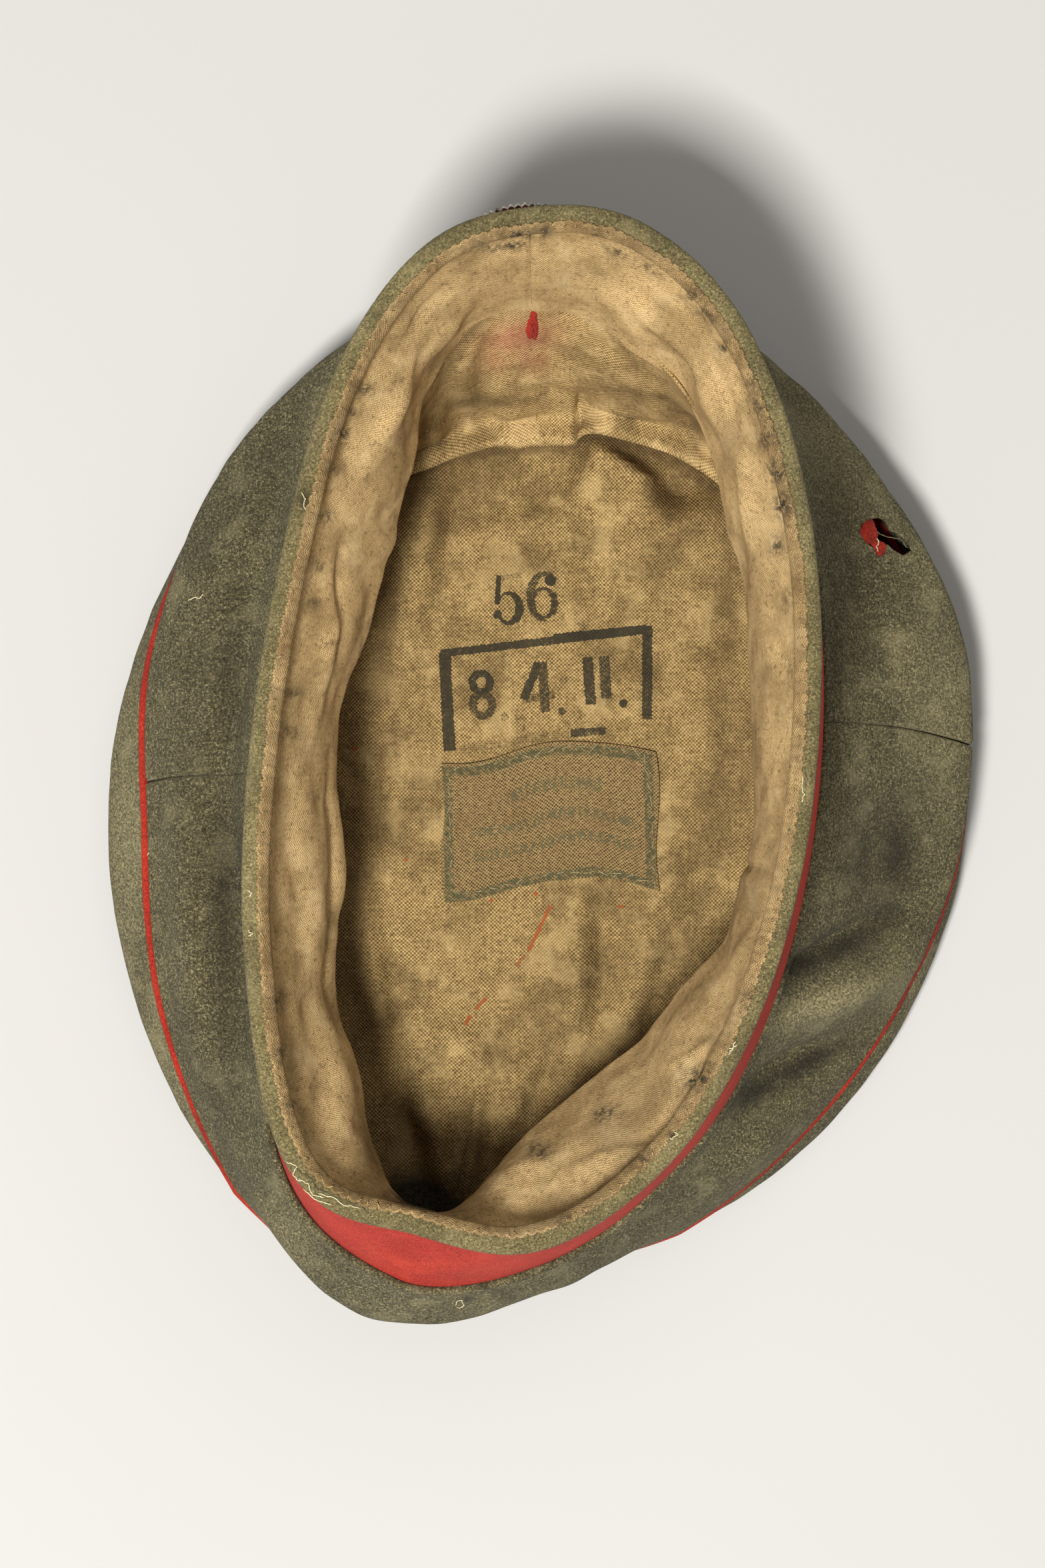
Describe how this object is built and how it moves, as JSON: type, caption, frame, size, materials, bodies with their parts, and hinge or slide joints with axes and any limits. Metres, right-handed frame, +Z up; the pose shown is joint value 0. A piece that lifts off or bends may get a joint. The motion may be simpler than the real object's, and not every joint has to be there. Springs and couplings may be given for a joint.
{
  "type": "peakless field cap",
  "caption": "Soft round peakless wool field cap with a coloured band and piping, lying on its crown, its lined hollow open.",
  "frame": {"origin": "middle of the crown's flat resting face", "axes": "+Z up out of the mouth as the cap lies on its crown, +Y towards the cap's front, +X towards the wearer's left"},
  "size_m": [0.1966, 0.2487, 0.0841],
  "materials": {
    "field_wool": "fulled wool",
    "red_wool": "fulled wool",
    "fine_drill": "fine twill",
    "coarse_lining": "coarse plain weave",
    "label_cloth": "worn woven cloth",
    "cockade_metal": "worn silver and black paint"
  },
  "bodies": {
    "root": {"crown_disc": "field_wool", "crown_piping": "red_wool", "side_panel_front": "field_wool", "side_panel_back": "field_wool", "band": "red_wool", "rim_edge": "field_wool", "lining_band": "fine_drill", "lining_side": "coarse_lining", "lining_crown": "coarse_lining", "label": "label_cloth", "cockade": "cockade_metal"}
  },
  "joints": []
}
